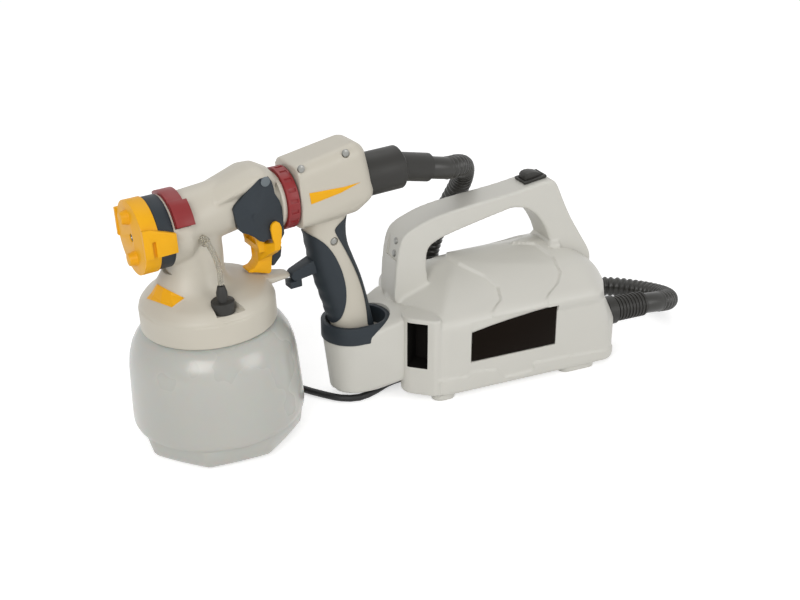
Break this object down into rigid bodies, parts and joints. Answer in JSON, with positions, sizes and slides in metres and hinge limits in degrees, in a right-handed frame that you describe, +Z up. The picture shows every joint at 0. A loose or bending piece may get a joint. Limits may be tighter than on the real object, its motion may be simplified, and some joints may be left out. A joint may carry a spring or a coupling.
{
  "type": "turbine paint sprayer",
  "caption": "Floor-standing blower base with a carry handle, a gun holder at one end, a ribbed air hose and a pistol spray gun with a paint container below its barrel.",
  "frame": {"origin": "on the floor, midway between the base's feet along Y and under the rear third of the handle's opening along X, level with the feet's soles", "axes": "+Z up; +X along the base towards the hose port; -Y towards the label side; the gun and its container stand off the -X end"},
  "size_m": [0.5825, 0.3047, 0.2482],
  "materials": {
    "shell_white": "moulded, light sheen",
    "cream": "moulded, light sheen",
    "slate": "moulded, fine grain",
    "amber": "moulded, light sheen",
    "dark_red": "moulded, light sheen",
    "black_plastic": "moulded, fine grain",
    "label": "smooth plate with a yellow border",
    "screw_steel": "zinc plated",
    "bright_steel": "ground",
    "stator": "laminated steel, matt",
    "copper": "enamelled copper wire",
    "carbon": "sintered carbon",
    "impeller": "pressed sheet",
    "filter_foam": "open-cell foam",
    "cord_pvc": "soft PVC",
    "hose": "ribbed, satin",
    "clear": "clear, milky",
    "container": "natural polyethylene, translucent",
    "seal": "satin",
    "white_ptfe": "satin"
  },
  "bodies": {
    "base": {"base_front_shell": "shell_white", "base_back_shell": "shell_white", "base_feet": "shell_white", "base_screws": "screw_steel", "gun_holder": "shell_white", "holder_rim": "slate", "label_plate": "label", "switch_bezel": "black_plastic", "switch_body": "black_plastic", "motor_stator": "stator", "motor_bearings": "bright_steel", "motor_brushes": "carbon", "turbine_housing": "black_plastic", "intake_filter": "filter_foam", "outlet_duct": "black_plastic", "hose_cuff": "black_plastic", "air_hose": "hose", "strain_relief": "cord_pvc", "power_cord": "cord_pvc", "power_cord_coil": "cord_pvc", "power_cord_tail": "cord_pvc", "cord_tie": "black_plastic", "mains_plug": "black_plastic"},
    "rotor": {"motor_shaft": "bright_steel", "motor_rotor": "copper", "fan_impellers": "impeller"},
    "switch": {"switch_rocker": "black_plastic"},
    "filter_door": {"filter_cover": "shell_white"},
    "gun": {"gun_shell_left": "cream", "gun_shell_right": "cream", "grip_pad": "slate", "grip_back_strip": "slate", "gun_screws": "screw_steel", "hose_connector": "black_plastic", "gun_air_tube": "black_plastic", "coupling_socket": "slate", "gun_badge": "amber", "support_arm": "slate", "spray_body": "cream", "container_lid": "cream", "lid_badge": "amber", "trigger_housing": "slate", "trigger_pin": "slate", "needle_spring": "bright_steel", "needle_seal": "white_ptfe", "fluid_nozzle": "slate", "union_nut": "slate", "vent_tube": "clear", "vent_cap": "black_plastic", "vent_nipple": "clear"},
    "coupling": {"coupling_ring": "dark_red"},
    "trigger_lever": {"trigger": "amber", "trigger_backing": "slate"},
    "needle_rod": {"needle": "bright_steel"},
    "cap": {"air_cap": "amber"},
    "jet_lever": {"jet_lever_ring": "dark_red"},
    "suction": {"suction_tube": "white_ptfe"},
    "seal": {"container_seal": "seal"},
    "paint_container": {"container": "container"}
  },
  "joints": [
    {"name": "rotor_spin", "type": "hinge", "parent": "base", "child": "rotor", "pos_m": [0, 0, 0.054], "axis": [1, 0, 0], "continuous": true},
    {"name": "switch_rock", "type": "hinge", "parent": "base", "child": "switch", "pos_m": [0.034, 0, 0.1788], "axis": [0, 1, 0], "range_deg": [-17, 0]},
    {"name": "filter_cover_pull", "type": "slide", "parent": "base", "child": "filter_door", "axis": [0, 1, 0], "range_m": [0, 0.015]},
    {"name": "gun_lift", "type": "slide", "parent": "base", "child": "gun", "axis": [0, 0, 1], "range_m": [0, 0.05], "deforming": ["air_hose"]},
    {"name": "coupling_turn", "type": "hinge", "parent": "gun", "child": "coupling", "pos_m": [-0.22323, -0.02438, 0.20663], "axis": [0.9916, 0.1218, 0.0436], "range_deg": [0, 30]},
    {"name": "trigger_pull", "type": "hinge", "parent": "gun", "child": "trigger_lever", "pos_m": [-0.24815, -0.02744, 0.23155], "axis": [0.1219, -0.9925, 0], "range_deg": [0, 8], "stiffness_Nm_per_rad": 2, "springref_deg": -8.59},
    {"name": "needle_draw", "type": "slide", "parent": "gun", "child": "needle_rod", "axis": [0.9916, 0.1218, 0.0436], "range_m": [0, 0.0042], "deforming": ["needle_spring"]},
    {"name": "air_cap_turn", "type": "hinge", "parent": "gun", "child": "cap", "pos_m": [-0.34903, -0.03982, 0.19809], "axis": [0.9916, 0.1218, 0.0436], "range_deg": [-90, 90]},
    {"name": "jet_lever_turn", "type": "hinge", "parent": "gun", "child": "jet_lever", "pos_m": [-0.32325, -0.03666, 0.19922], "axis": [0.9916, 0.1218, 0.0436], "range_deg": [-40, 0]},
    {"name": "suction_tube_turn", "type": "hinge", "parent": "gun", "child": "suction", "pos_m": [-0.29556, -0.03326, 0.11035], "axis": [-0.0433, -0.0053, 0.999], "range_deg": [0, 180]},
    {"name": "container_drop", "type": "slide", "parent": "gun", "child": "seal", "axis": [0.0433, 0.0053, -0.999], "range_m": [0, 0.0062]},
    {"name": "container_turn", "type": "hinge", "parent": "seal", "child": "paint_container", "pos_m": [-0.29556, -0.03326, 0.11035], "axis": [0.0433, 0.0053, -0.999], "range_deg": [0, 90]}
  ],
  "couplings": [
    {"joint": "needle_draw", "follows": "trigger_pull", "m_per_rad": 0.0289},
    {"joint": "container_drop", "follows": "container_turn", "m_per_rad": 0.00382}
  ]
}
